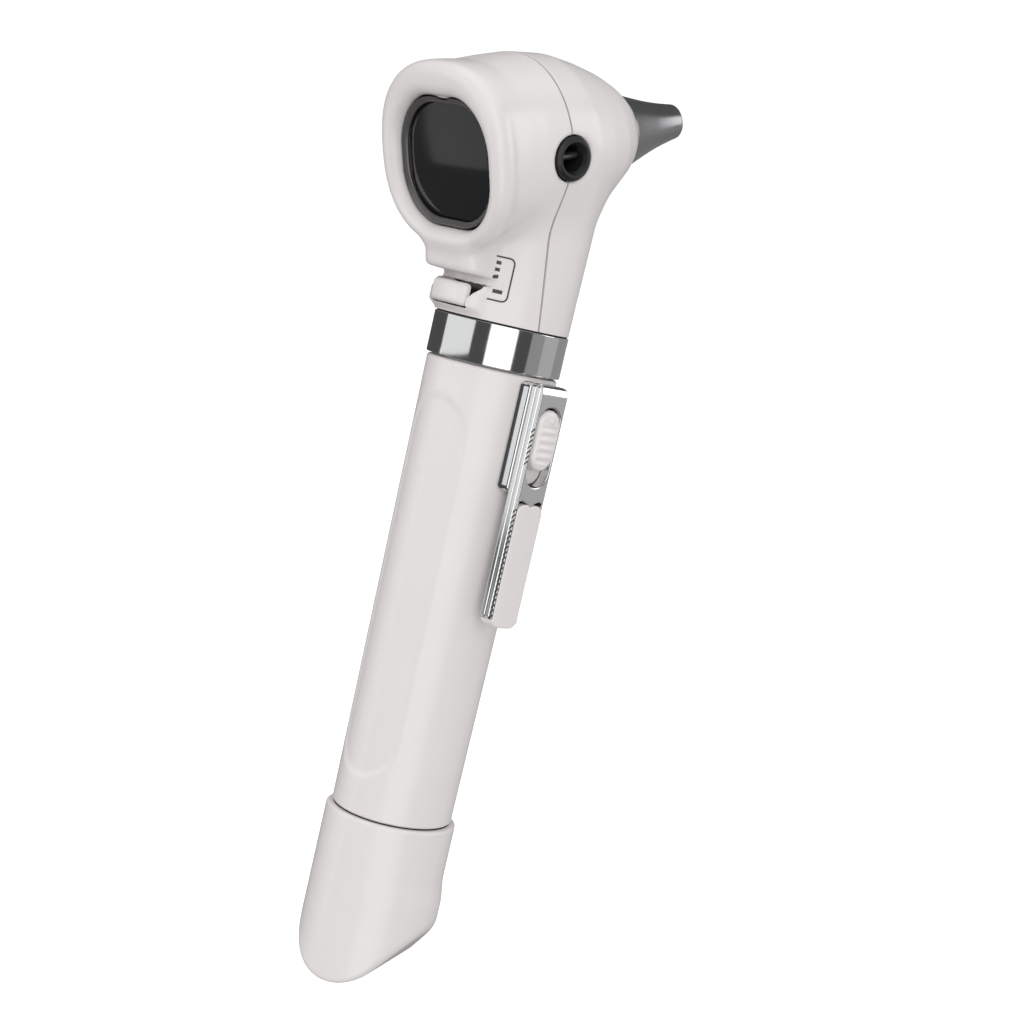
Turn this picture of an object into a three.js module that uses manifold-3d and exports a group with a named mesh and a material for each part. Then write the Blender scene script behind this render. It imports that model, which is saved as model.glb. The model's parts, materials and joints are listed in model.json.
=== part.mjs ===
// A pocket otoscope in millimetres: a hollow battery handle with a pen clip and a slide switch, a
// two-shell head with a viewing window and a pull-off ear speculum, and a twist-off end cap.
// +Z runs up the handle, the user looks in from -Y, the patient is on +Y, and +X is the clip side.
import * as THREE from "three";
import { ParametricGeometry } from "three/addons/geometries/ParametricGeometry.js";
import { mergeVertices } from "three/addons/utils/BufferGeometryUtils.js";
import Module from "manifold-3d";

// ---------- driving dimensions ----------
const GAP = 0.3; // clearance between neighbouring pieces
const COLLAR_TOP = 40; // height of the collar's top face above the middle of the grip
const HANDLE_TURN = THREE.MathUtils.degToRad(7); // the handle's clip side, from +X towards +Y

// Heights below are measured from the collar's top face.
const COLLAR_RADIUS = 10.2;
const COLLAR_HEIGHT = 6.2;
const HANDLE_TOP_RADIUS = 9.95;
const HANDLE_END_RADIUS = 9.3;
const HANDLE_TOP_Z = -6.5;
const HANDLE_NECK_RADIUS = 8.6; // the tube's upper end, inside the collar
const CAP_SEAM_Z = -75.8;
const SPIGOT_RADIUS = 8.4; // the tube's lower end, inside the cap
const SPIGOT_END_Z = -81.5;
const CELL_RADIUS = 7.25; // one AA cell
const CELL_CAN_LENGTH = 49.2;
const CELL_TOP_Z = -23.4;
const BORE_RADIUS = CELL_RADIUS + 0.25;
const STRIP_WIDTH = 3.6;

const OPTIC_TILT = THREE.MathUtils.degToRad(20.3); // line of sight, up towards the patient
const OPTIC_HEIGHT = 27.05; // where the line of sight crosses the handle's axis
const SHELL_WALL = 1.8;
const HEAD_BOTTOM_Z = 0.4;
const NECK_RADIUS = 10.1;
const WINDOW_WIDTH = 19.8;
const WINDOW_HEIGHT = 19.1;
const WINDOW_CORNER = 6.8;
const RIM_FRONT = -19.6; // along the line of sight, from its crossing with the handle's axis
const NOSE_FRONT = 13.4;
const NOSE_BORE = 5.1;
const SPECULUM_TIP = 26;
const PORT_ALONG = -5.1;
const PORT_RADIUS = 3.4;
const PORT_FACE_X = 13.5;
const PARTING_FOOT_Y = -1.3;

const CHIN_HALF_WIDTH = 6;
const CHIN_BACK_Y = -12.9;
const CHIN_BOTTOM_Z = 6.1;
const TAB_HALF_WIDTH = 4;
const TAB_BACK_Y = -12;
const TAB_BOTTOM_Z = 1.45;
const TAB_TOP_Z = 4.8;

// On the clip's side, distances out from the handle's axis are X in the handle's turned frame.
const CLIP_FACE_X = 13.6;
const CLIP_PLATE_X = 11.3; // underside of the bezel and of the clip's arm
const CLIP_HALF_WIDTH = 3;
const CLIP_RIM = 0.45; // width of the arm's side walls
const CLIP_TOP_Z = -7;
const CLIP_ROOT_Z = -24.15; // where the arm bends
const CLIP_BASE_END_Z = -23.5;
const CLIP_END_Z = -43.3;
const SLIDER_HALF_WIDTH = 2.3;
const SLIDER_TOP_Z = -10.5;
const SLIDER_END_Z = -19.6;
const SLOT_TOP_Z = -10.1;
const SLOT_END_Z = -22.1;
const RIVET_HEIGHTS = [-9.3, -21.6];

const CAP_RADIUS = 10.1;
const CAP_TOP_Z = -76.9;
const CAP_BULGE = 0.5; // how far the lower part of the cap stands out below the flat side
const CAP_NOSE_RADIUS = 8.8; // side view of the cap's rounded end
const CAP_NOSE_Z = -93.25; // height of that round's centre
const CAP_FLAT_ANGLE = THREE.MathUtils.degToRad(53); // lean of the cap's flat, from level
const CAP_TURN = THREE.MathUtils.degToRad(30); // way the cap's flat faces, from +X towards +Y

const SMOOTH = 48; // sides of a large round piece
const SMALL = 24; // sides of a small round piece

const COLOURS = {
  shell: [0xe4e0dd, 0.35, 0],
  chrome: [0xc9cbcd, 0.12, 1],
  black: [0x161616, 0.4, 0],
  rubber: [0x1b1b1b, 0.8, 0],
  darkMetal: [0x55565a, 0.3, 0.7],
  brass: [0xc8a24a, 0.3, 1],
  steel: [0x9a9ca0, 0.3, 1],
  board: [0x1f5a35, 0.6, 0],
  lens: [0x20242a, 0.05, 0],
  clear: [0xdfe9ee, 0.1, 0],
  speculum: [0x3c3e41, 0.3, 0],
  cell: [0x2c4f7c, 0.4, 0.3],
};

// ---------- solids ----------
const wasm = await Module();
wasm.setup();

// Turns a closed geometry into a solid that can be joined and cut.
function solid(geometry) {
  const bare = new THREE.BufferGeometry().setAttribute("position", geometry.getAttribute("position"));
  if (geometry.index) bare.setIndex(geometry.index);
  const merged = mergeVertices(bare, 1e-4);
  const index = merged.index.array;
  const kept = [];
  for (let i = 0; i < index.length; i += 3) {
    const [a, b, c] = [index[i], index[i + 1], index[i + 2]];
    if (a !== b && b !== c && c !== a) kept.push(a, b, c);
  }
  const vertProperties = merged.attributes.position.array;
  const make = (corners) => {
    const triVerts = new Uint32Array(corners);
    return new wasm.Manifold(new wasm.Mesh({ numProp: 3, vertProperties, triVerts }));
  };
  const made = make(kept);
  return made.volume() > 0 ? made : make(kept.reverse());
}

function geometryOf(shape) {
  const mesh = shape.getMesh();
  const geometry = new THREE.BufferGeometry();
  geometry.setAttribute("position", new THREE.BufferAttribute(new Float32Array(mesh.vertProperties), 3));
  geometry.setIndex(new THREE.BufferAttribute(new Uint32Array(mesh.triVerts), 1));
  geometry.computeVertexNormals();
  return geometry;
}

const cut = (body, ...tools) => tools.reduce((left, tool) => left.subtract(tool), body);
const join = (body, ...others) => others.reduce((left, other) => left.add(other), body);

// A profile of [radius, height] points, turned about +Z.
function turned(profile, sides = SMOOTH) {
  const points = profile.map(([radius, height]) => new THREE.Vector2(radius, height));
  return new THREE.LatheGeometry(points, sides).rotateX(Math.PI / 2);
}

// A ring or tube with straight walls, from [low, high] heights and [inner, outer] radii.
function ring([low, high], [inner, outer], sides = SMOOTH) {
  return turned([[inner, low], [outer, low], [outer, high], [inner, high], [inner, low]], sides);
}

function rod([low, high], radius, sides = SMALL) {
  return turned([[0, low], [radius, low], [radius, high], [0, high]], sides);
}

const along = {
  x: (geometry) => geometry.rotateY(Math.PI / 2), // +Z of the geometry becomes +X
  y: (geometry) => geometry.rotateX(-Math.PI / 2), // +Z of the geometry becomes +Y
};

function block([x0, x1], [y0, y1], [z0, z1]) {
  const box = new THREE.BoxGeometry(x1 - x0, y1 - y0, z1 - z0);
  return box.translate((x0 + x1) / 2, (y0 + y1) / 2, (z0 + z1) / 2);
}

function roundedRectangle(halfWidth, halfHeight, corner, centreY = 0) {
  const shape = new THREE.Shape();
  const [x, y] = [halfWidth - corner, halfHeight - corner];
  shape.absarc(x, centreY + y, corner, 0, Math.PI / 2);
  shape.absarc(-x, centreY + y, corner, Math.PI / 2, Math.PI);
  shape.absarc(-x, centreY - y, corner, Math.PI, 1.5 * Math.PI);
  shape.absarc(x, centreY - y, corner, 1.5 * Math.PI, 2 * Math.PI);
  shape.closePath();
  return shape;
}

function prism(shape, [low, high], curveSegments = 6) {
  const options = { depth: high - low, bevelEnabled: false, curveSegments };
  return new THREE.ExtrudeGeometry(shape, options).translate(0, 0, low);
}

// A shape drawn across the line of sight (right, up), pushed along it from one place to another.
function acrossSight(shape, [from, to]) {
  const frame = new THREE.Matrix4().makeBasis(
    new THREE.Vector3(1, 0, 0),
    new THREE.Vector3(0, 0, 1),
    new THREE.Vector3(0, -1, 0),
  );
  return prism(shape, [-to, -from]).applyMatrix4(frame);
}

// A shape drawn in the side view or on the clip's face (Y, Z), pushed along X.
function acrossSide(shape, [from, to]) {
  const frame = new THREE.Matrix4().makeBasis(
    new THREE.Vector3(0, 1, 0),
    new THREE.Vector3(0, 0, 1),
    new THREE.Vector3(1, 0, 0),
  );
  return prism(shape, [from, to]).applyMatrix4(frame);
}

// A closed skin over a row of rings; each ring gives the point at an angle around it.
function loft(rings, sides = SMOOTH) {
  const stacks = rings.length + 1;
  const middle = (ringAt) => ringAt(0).add(ringAt(Math.PI)).multiplyScalar(0.5);
  const surface = (u, v, target) => {
    const level = Math.round(v * stacks);
    if (level === 0) target.copy(middle(rings[0]));
    else if (level === stacks) target.copy(middle(rings[rings.length - 1]));
    else target.copy(rings[level - 1](2 * Math.PI * u));
  };
  return new ParametricGeometry(surface, sides, stacks);
}

const sightFrame = new THREE.Matrix4()
  .makeTranslation(0, 0, OPTIC_HEIGHT)
  .multiply(new THREE.Matrix4().makeRotationX(OPTIC_TILT));

// Moves a geometry drawn in the line-of-sight frame into the head's upright frame.
const inSight = (geometry) => geometry.applyMatrix4(sightFrame);

// ---------- head ----------
// Outline of the head across the line of sight: [along, half width, top, bottom, squareness].
const HEAD_STATIONS = [
  [RIM_FRONT, 13.2, 13.2, -10.8, 2.6],
  [RIM_FRONT + 0.7, 14.3, 14.2, -11.9, 2.6],
  [RIM_FRONT + 2.4, 14.7, 14.6, -12.3, 2.6],
  [-15.4, 13.8, 14.2, -11.4, 2.6],
  [-13, 13.3, 14, -11.1, 2.5],
  [-9, 13.1, 14.2, -11.6, 2.3],
  [-5, 13.2, 14.2, -12, 2.15],
  [0, 13.1, 13.4, -12, 2.05],
  [4, 12.2, 12.1, -11, 2],
  [8, 10.8, 10.3, -9.3, 2],
  [11, 9, 8.4, -7.6, 2],
  [NOSE_FRONT - 0.6, 7.3, 6.8, -6.3, 2],
  [NOSE_FRONT, 5.9, 5.6, -5.5, 2],
];

// One outline, drawn in by the wall's thickness.
function headRing([where, halfWidth, top, bottom, squareness], inset) {
  const middle = (top + bottom) / 2;
  const halfHeight = (top - bottom) / 2 - inset;
  const bend = (value) => Math.sign(value) * Math.abs(value) ** (2 / squareness);
  return (angle) => {
    const across = (halfWidth - inset) * bend(Math.cos(angle));
    return new THREE.Vector3(across, where, middle + halfHeight * bend(Math.sin(angle)));
  };
}

function headSkin(stations, inset) {
  return solid(inSight(loft(stations.map((station) => headRing(station, inset)))));
}

// The neck is a plain round column whose top leans with the head's underside.
function neckSkin(inset, low) {
  const levels = [[low, NECK_RADIUS, 0], [8, 10.25, 0], [18.5, 10.35, 0.33]];
  const rings = levels.map(([height, radius, lean]) => (angle) => {
    const [x, y] = [(radius - inset) * Math.cos(angle), (radius - inset) * Math.sin(angle)];
    return new THREE.Vector3(x, y, height + lean * y);
  });
  return solid(loft(rings));
}

// Everything inside the head's skin that is empty.
function headCavity() {
  const first = [RIM_FRONT + 4, 13.8, 14.2, -11.4, 2.6];
  const last = [NOSE_FRONT - SHELL_WALL, 8.4, 7.7, -7.1, 2];
  const inner = HEAD_STATIONS.filter(([where]) => where > first[0] && where < last[0]);
  const counterbore = solid(ring([HEAD_BOTTOM_Z - 1, 1.2], [0, 9.3]));
  const neckBore = neckSkin(SHELL_WALL, HEAD_BOTTOM_Z - 0.5);
  return join(headSkin([first, ...inner, last], SHELL_WALL), neckBore, counterbore);
}

function headOpenings() {
  const windowShape = roundedRectangle(WINDOW_WIDTH / 2, WINDOW_HEIGHT / 2, WINDOW_CORNER);
  const windowHole = solid(inSight(acrossSight(windowShape, [RIM_FRONT - 1, RIM_FRONT + 8])));
  const noseHole = solid(inSight(along.y(rod([NOSE_FRONT - 6, NOSE_FRONT + 1], NOSE_BORE, SMOOTH))));
  const portHole = solid(inSight(along.x(rod([7, 16], PORT_RADIUS + GAP)).translate(0, PORT_ALONG, 0)));
  const slotHalfWidth = TAB_HALF_WIDTH + GAP;
  const slot = solid(block([-slotHalfWidth, slotHalfWidth], [-15, -8], [TAB_BOTTOM_Z - GAP, CHIN_BOTTOM_Z]));
  const gapAbove = solid(block([-7, 7], [-15, -10.2], [TAB_TOP_Z - 0.6, CHIN_BOTTOM_Z]));
  return join(windowHole, noseHole, portHole, slot, gapAbove);
}

function headShell() {
  const skin = join(headSkin(HEAD_STATIONS, 0), neckSkin(0, HEAD_BOTTOM_Z), chin());
  return cut(skin, headCavity(), headOpenings());
}

// The block under the rim, whose back leans out as it rises. The release tab is let into its foot.
function chin() {
  const side = new THREE.Shape();
  side.moveTo(-8, HEAD_BOTTOM_Z);
  side.lineTo(-10, HEAD_BOTTOM_Z);
  side.lineTo(-10.6, TAB_BOTTOM_Z - GAP);
  side.lineTo(TAB_BACK_Y + 0.3, TAB_BOTTOM_Z + 0.8);
  side.lineTo(TAB_BACK_Y + 0.2, CHIN_BOTTOM_Z - 0.5);
  side.lineTo(CHIN_BACK_Y + 0.5, CHIN_BOTTOM_Z - 0.5);
  side.lineTo(CHIN_BACK_Y, CHIN_BOTTOM_Z + 0.7);
  side.lineTo(CHIN_BACK_Y - 2.3, 15);
  side.lineTo(-8, 17);
  side.closePath();
  return solid(acrossSide(side, [-CHIN_HALF_WIDTH, CHIN_HALF_WIDTH]));
}

// The space behind or in front of the parting line, which leans below the port.
function partingSide(farY) {
  const side = Math.sign(farY);
  const portY = PORT_ALONG * Math.cos(OPTIC_TILT) + (side * GAP) / 2;
  const portZ = OPTIC_HEIGHT + PORT_ALONG * Math.sin(OPTIC_TILT);
  const reach = 45;
  const shape = new THREE.Shape();
  shape.moveTo(portY - reach * Math.sin(OPTIC_TILT), portZ + reach * Math.cos(OPTIC_TILT));
  shape.lineTo(portY, portZ);
  shape.lineTo(PARTING_FOOT_Y + (side * GAP) / 2, -1);
  shape.lineTo(farY, -1);
  shape.lineTo(farY, portZ + reach);
  shape.closePath();
  return solid(acrossSide(shape, [-30, 30]));
}

// The light guide's middle line, from over the lamp to the side of the sight tube.
function lightPath() {
  const end = new THREE.Vector3(0, 6, -6.1).applyMatrix4(sightFrame);
  const bend = new THREE.Vector3(0, 1.6, -7.4).applyMatrix4(sightFrame);
  const start = new THREE.Vector3(0, 0, 6.9);
  const stem = [new THREE.Vector3(0, 0, 11), new THREE.Vector3(0, 0.7, 15.5)];
  return new THREE.CatmullRomCurve3([start, ...stem, bend, end]);
}

function tubeAlong(path, radius, steps, sides) {
  const section = new THREE.Shape();
  for (let i = 0; i < sides; i += 1) {
    const angle = (2 * Math.PI * i) / sides;
    const [x, y] = [radius * Math.cos(angle), radius * Math.sin(angle)];
    if (i) section.lineTo(x, y);
    else section.moveTo(x, y);
  }
  section.closePath();
  return new THREE.ExtrudeGeometry(section, { steps, extrudePath: path, bevelEnabled: false });
}

// A rounded-rectangle frame that fits the window, or the plate inside it.
function windowPiece(outerInset, innerInset, span) {
  const outline = (inset) =>
    roundedRectangle(WINDOW_WIDTH / 2 - inset, WINDOW_HEIGHT / 2 - inset, WINDOW_CORNER - inset);
  const outer = solid(acrossSight(outline(outerInset), span));
  if (innerInset === null) return outer;
  const beyond = [span[0] - 1, span[1] + 1];
  return cut(outer, solid(acrossSight(outline(innerInset), beyond)));
}

function speculum() {
  const flange = [[4.75, 11], [4.75, 14.5]];
  const outside = [[4.6, 17], [4.05, 19.6], [3.45, 21.8], [3, 23.8], [2.65, SPECULUM_TIP]];
  const inside = [[2.15, SPECULUM_TIP], [2.4, 23.5], [3.1, 20], [3.8, 16], [4.15, 12.8], [4.2, 11]];
  return along.y(turned([...flange, ...outside, ...inside, flange[0]], 36));
}

function noseCone() {
  const outside = [[6.2, 6.3], [6.2, 7.4], [3.75, 7.4], [3.7, 12.5], [3, 16], [2.4, 19.2]];
  const inside = [[1.3, 19.2], [1.5, 16], [2.9, 6.3]];
  return along.y(turned([...outside, ...inside, outside[0]], 32));
}

function insufflationPort() {
  const root = [[1.9, 9.4], [2.6, 9.4], [PORT_RADIUS, 10.6]];
  const face = [[PORT_RADIUS, 13.1], [PORT_RADIUS - 0.4, PORT_FACE_X], [1.9, PORT_FACE_X]];
  const body = turned([...root, ...face, root[0]], 32);
  return along.x(body).translate(0, PORT_ALONG, 0);
}

// ---------- handle ----------
function handleTube() {
  const profile = [
    [BORE_RADIUS, SPIGOT_END_Z],
    [SPIGOT_RADIUS, SPIGOT_END_Z],
    [SPIGOT_RADIUS, CAP_SEAM_Z],
    [HANDLE_END_RADIUS, CAP_SEAM_Z],
    [HANDLE_TOP_RADIUS, HANDLE_TOP_Z],
    [HANDLE_NECK_RADIUS, HANDLE_TOP_Z],
    [HANDLE_NECK_RADIUS, -GAP],
    [BORE_RADIUS, -GAP],
    [BORE_RADIUS, SPIGOT_END_Z],
  ];
  const groove = solid(block([6, 8.3], [-2.1, 2.1], [CAP_SEAM_Z + 1, -1.5]));
  const switchSlot = solid(block([7.8, 11], [-1.3, 1.3], [SLIDER_END_Z, SLIDER_TOP_Z - 1]));
  const rivetHoles = RIVET_HEIGHTS.map((z) => solid(along.x(rod([7.8, 11], 1.1, 12)).translate(0, 0, z)));
  return cut(solid(turned(profile)), groove, switchSlot, ...rivetHoles);
}

function collarRing() {
  const [inner, edge] = [HANDLE_NECK_RADIUS + GAP, 0.25];
  const profile = [
    [inner, -COLLAR_HEIGHT],
    [COLLAR_RADIUS - edge, -COLLAR_HEIGHT],
    [COLLAR_RADIUS, -COLLAR_HEIGHT + edge],
    [COLLAR_RADIUS, -edge],
    [COLLAR_RADIUS - edge, 0],
    [inner, 0],
    [inner, -COLLAR_HEIGHT],
  ];
  return turned(profile);
}

function lampHousing() {
  const profile = [
    [1.9, -14.6],
    [BORE_RADIUS - GAP, -14.6],
    [BORE_RADIUS - GAP, -1.2],
    [6.7, -0.8],
    [6.7, 5.6],
    [3.4, 5.6],
    [3.4, 3.6],
    [1.9, 3.6],
    [1.9, -14.6],
  ];
  return turned(profile, 36);
}

// ---------- switch and clip ----------
function switchBase() {
  const top = CLIP_PLATE_X - GAP;
  const body = solid(block([8.5, top], [-CLIP_HALF_WIDTH, CLIP_HALF_WIDTH], [CLIP_BASE_END_Z, CLIP_TOP_Z]));
  const saddle = solid(rod([-30, 0], HANDLE_TOP_RADIUS + 0.2, SMOOTH));
  const wayIn = solid(block([8, 12], [-1.3, 1.3], [SLIDER_END_Z, SLIDER_TOP_Z - 1]));
  const rivetHoles = RIVET_HEIGHTS.map((z) => solid(along.x(rod([8, 12], 1.6, 16)).translate(0, 0, z)));
  return cut(body, saddle, wayIn, ...rivetHoles);
}

function clipRivet(height) {
  const profile = [[0, 8.6], [0.8, 8.6], [0.8, 10.35], [1.3, 10.35], [1.3, 10.95], [0, 10.95]];
  return along.x(turned(profile, 12)).translate(0, 0, height);
}

// An upright stadium on the clip's face, between two heights.
function stadium(halfWidth, [low, high]) {
  return roundedRectangle(halfWidth, (high - low) / 2, halfWidth - 0.01, (low + high) / 2);
}

// The slider's pale track, which fills the floor of the bezel's slot.
function sliderTrack() {
  const outline = stadium(SLIDER_HALF_WIDTH, [SLOT_END_Z + GAP, SLOT_TOP_Z - GAP]);
  const plate = solid(acrossSide(outline, [CLIP_PLATE_X, CLIP_PLATE_X + 0.6]));
  return cut(plate, solid(block([11, 13], [-1.2, 1.2], [SLIDER_END_Z + 0.4, SLIDER_TOP_Z - 1])));
}

function switchBezel() {
  const middle = (CLIP_TOP_Z + CLIP_ROOT_Z + 0.15) / 2;
  const half = (CLIP_TOP_Z - CLIP_ROOT_Z - 0.15) / 2;
  const outline = roundedRectangle(CLIP_HALF_WIDTH, half, 1, middle);
  const slot = stadium(SLIDER_HALF_WIDTH + GAP, [SLOT_END_Z, SLOT_TOP_Z]);
  const plate = solid(acrossSide(outline, [CLIP_PLATE_X, CLIP_FACE_X]));
  return cut(plate, solid(acrossSide(slot, [CLIP_PLATE_X - 1, CLIP_FACE_X + 1])));
}

function switchSlider() {
  const middle = (SLIDER_TOP_Z + SLIDER_END_Z) / 2;
  const half = (SLIDER_TOP_Z - SLIDER_END_Z) / 2;
  const layers = [[12.2, 0.15], [12.4, 0], [13.8, 0], [14.15, 0.5], [14.3, 1.3]];
  const rings = layers.map(([x, inset]) => (angle) => {
    const radius = SLIDER_HALF_WIDTH - inset;
    const straight = half - SLIDER_HALF_WIDTH;
    const up = Math.sin(angle);
    const z = middle + radius * up + straight * Math.sign(Math.abs(up) < 1e-6 ? 0 : up);
    return new THREE.Vector3(x, radius * Math.cos(angle), z);
  });
  return loft(rings, 32);
}

function clipArm() {
  const top = CLIP_ROOT_Z - 0.15;
  const end = CLIP_END_Z + 1.1;
  const channel = solid(block([CLIP_PLATE_X, CLIP_FACE_X], [-CLIP_HALF_WIDTH, CLIP_HALF_WIDTH], [end, top]));
  const trough = CLIP_HALF_WIDTH - CLIP_RIM;
  return cut(channel, solid(block([CLIP_PLATE_X + 0.6, 16], [-trough, trough], [end - 1, top + 1])));
}

function clipCover() {
  const half = CLIP_HALF_WIDTH - CLIP_RIM - GAP;
  const top = CLIP_ROOT_Z - 0.5;
  const plate = new THREE.Shape();
  plate.moveTo(-half, top);
  plate.lineTo(-half, CLIP_END_Z + half * 0.6);
  plate.quadraticCurveTo(-half, CLIP_END_Z, 0, CLIP_END_Z);
  plate.quadraticCurveTo(half, CLIP_END_Z, half, CLIP_END_Z + half * 0.6);
  plate.lineTo(half, top);
  plate.closePath();
  return acrossSide(plate, [CLIP_PLATE_X + 0.6 + GAP, CLIP_FACE_X + 0.4]);
}

// ---------- cap and cell ----------
// Side view of the cap's end: a straight back, a large round, and a flat that leans up to the front.
function capProfile() {
  const reach = 16;
  const back = CAP_RADIUS;
  const centre = CAP_NOSE_RADIUS - back;
  const flatStart = CAP_FLAT_ANGLE - Math.PI / 2;
  const side = new THREE.Shape();
  side.moveTo(-back, -70);
  side.lineTo(-back, CAP_NOSE_Z);
  side.absarc(centre, CAP_NOSE_Z, CAP_NOSE_RADIUS, Math.PI, 2 * Math.PI + flatStart);
  const startX = centre + CAP_NOSE_RADIUS * Math.cos(flatStart);
  const startZ = CAP_NOSE_Z + CAP_NOSE_RADIUS * Math.sin(flatStart);
  side.lineTo(reach, startZ + (reach - startX) * Math.tan(CAP_FLAT_ANGLE));
  side.lineTo(reach, -70);
  side.closePath();
  return side;
}

function endCap() {
  const floor = [[0, -104], [CAP_RADIUS, -104]];
  const column = solid(turned([...floor, [CAP_RADIUS, CAP_TOP_Z - 0.6], [9.7, CAP_TOP_Z], [0, CAP_TOP_Z]]));
  const bulge = turned([...floor, [CAP_RADIUS, -89], [CAP_RADIUS - 0.6, -85], [0, -85]]);
  bulge.translate(CAP_BULGE * Math.cos(CAP_TURN), CAP_BULGE * Math.sin(CAP_TURN), 0);
  const body = join(column, solid(bulge));
  const frame = new THREE.Matrix4().makeRotationZ(CAP_TURN);
  frame.multiply(new THREE.Matrix4().makeRotationX(Math.PI / 2));
  const end = solid(prism(capProfile(), [-15, 15], 16).applyMatrix4(frame));
  const bore = solid(rod([SPIGOT_END_Z - GAP, CAP_TOP_Z + 1], SPIGOT_RADIUS + GAP, SMOOTH));
  const well = solid(rod([-84.7, CAP_TOP_Z], 7.4, SMOOTH));
  return cut(body.intersect(end), bore, well);
}

// A coil with closed, flat-lying end turns.
function batterySpring() {
  const [low, high, turns, radius] = [-82.2, CELL_TOP_Z - CELL_CAN_LENGTH - GAP - 0.35, 4, 4.4];
  class Coil extends THREE.Curve {
    getPoint(t, target = new THREE.Vector3()) {
      const angle = 2 * Math.PI * turns * t;
      return target.set(radius * Math.cos(angle), radius * Math.sin(angle), low + (high - low) * t);
    }
  }
  return tubeAlong(new Coil(), 0.35, turns * 14, 6);
}

// ---------- assembly ----------
const otoscope = new THREE.Group();
otoscope.position.z = COLLAR_TOP;

function group(parent, turn = 0) {
  const made = new THREE.Group();
  made.rotation.z = turn;
  parent.add(made);
  return made;
}

function add(parent, name, shape, finish) {
  const geometry = geometryOf(shape.isBufferGeometry ? solid(shape) : shape);
  const [color, roughness, metalness] = COLOURS[finish];
  const mesh = new THREE.Mesh(geometry, new THREE.MeshStandardMaterial({ color, roughness, metalness }));
  mesh.name = name;
  parent.add(mesh);
}

const handle = group(otoscope, HANDLE_TURN);
add(handle, "handle_tube", handleTube(), "shell");
add(handle, "collar_ring", collarRing(), "chrome");
add(handle, "lamp_housing", lampHousing(), "darkMetal");
add(handle, "led_emitter", turned([[0, 3.9], [3, 3.9], [3, 4.6], [2.2, 5.9], [0, 6.4]], SMALL), "clear");
add(handle, "lamp_board", rod([-16.1, -14.9], 6.6), "board");
const contactProfile = [[0, -21.3], [1.6, -20.9], [1.6, -16.4], [0, -16.4]];
add(handle, "positive_contact", turned(contactProfile, SMALL), "brass");
const stripHalf = STRIP_WIDTH / 2;
add(handle, "contact_strip", block([7.65, 8], [-stripHalf, stripHalf], [CAP_SEAM_Z + 1.4, -1.9]), "brass");
add(handle, "neck_gasket", ring([0.25, 0.85], [7.3, 9]), "rubber");
add(handle, "switch_base", switchBase(), "chrome");
add(handle, "switch_bezel", switchBezel(), "chrome");
add(handle, "slider_track", sliderTrack(), "shell");
RIVET_HEIGHTS.forEach((height, i) => add(handle, `clip_rivet_${i + 1}`, clipRivet(height), "steel"));

const slider = group(otoscope, HANDLE_TURN);
add(slider, "switch_slider", switchSlider(), "shell");
add(slider, "sliding_contact", block([8.4, 11.9], [-0.9, 0.9], [-17, -14]), "brass");

const clip = group(otoscope, HANDLE_TURN);
add(clip, "clip_arm", clipArm(), "chrome");
add(clip, "clip_cover", clipCover(), "shell");

const head = group(otoscope);
const shell = headShell();
add(head, "rear_housing", shell.intersect(partingSide(-60)), "shell");
add(head, "front_housing", shell.intersect(partingSide(60)), "shell");
add(head, "neck_insert", ring([1.5, 7], [7, 8]), "brass");
add(head, "light_guide", tubeAlong(lightPath(), 1.1, 14, 10), "clear");
const tab = block([-TAB_HALF_WIDTH, TAB_HALF_WIDTH], [TAB_BACK_Y, -9.2], [TAB_BOTTOM_Z, TAB_TOP_Z]);
add(head, "release_tab", tab, "shell");

const optics = group(head);
optics.position.z = OPTIC_HEIGHT;
optics.rotation.x = OPTIC_TILT;
const tunnelProfile = [[4.4, 6], [8.6, -12.4], [7.6, -12.4], [3.4, 6], [4.4, 6]];
add(optics, "sight_tube", along.y(turned(tunnelProfile, 36)), "black");
add(optics, "nose_cone", noseCone(), "darkMetal");
add(optics, "fibre_ring", along.y(ring([19.5, 20], [1.3, 2.1], SMALL)), "clear");
add(optics, "insufflation_port", insufflationPort(), "black");
add(optics, "lens_bezel", windowPiece(GAP, 1.3, [-18.5, -13.1]), "black");
add(optics, "viewing_lens", windowPiece(1.6, null, [-17.1, -15.2]), "lens");
add(optics, "lens_retainer", windowPiece(1.6, 2.8, [-14.9, -13.4]), "black");
add(optics, "speculum", speculum(), "speculum");

const cap = group(otoscope);
add(cap, "cap_seal", ring([CAP_SEAM_Z - 0.8, CAP_SEAM_Z - 0.3], [SPIGOT_RADIUS + GAP, 9.2]), "rubber");
add(cap, "end_cap", endCap(), "shell");
add(cap, "battery_spring", batterySpring(), "steel");
add(cap, "spring_plate", rod([-84.3, -83], 6.6), "steel");

const cell = group(otoscope);
add(cell, "battery_can", rod([CELL_TOP_Z - CELL_CAN_LENGTH, CELL_TOP_Z], CELL_RADIUS, 36), "cell");
add(cell, "battery_button", rod([CELL_TOP_Z + GAP, CELL_TOP_Z + 1.7], 2.7), "steel");

export default otoscope;
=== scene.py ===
import json
import math

import bmesh
import bpy
import numpy as np
from mathutils import Matrix, Quaternion, Vector


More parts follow.
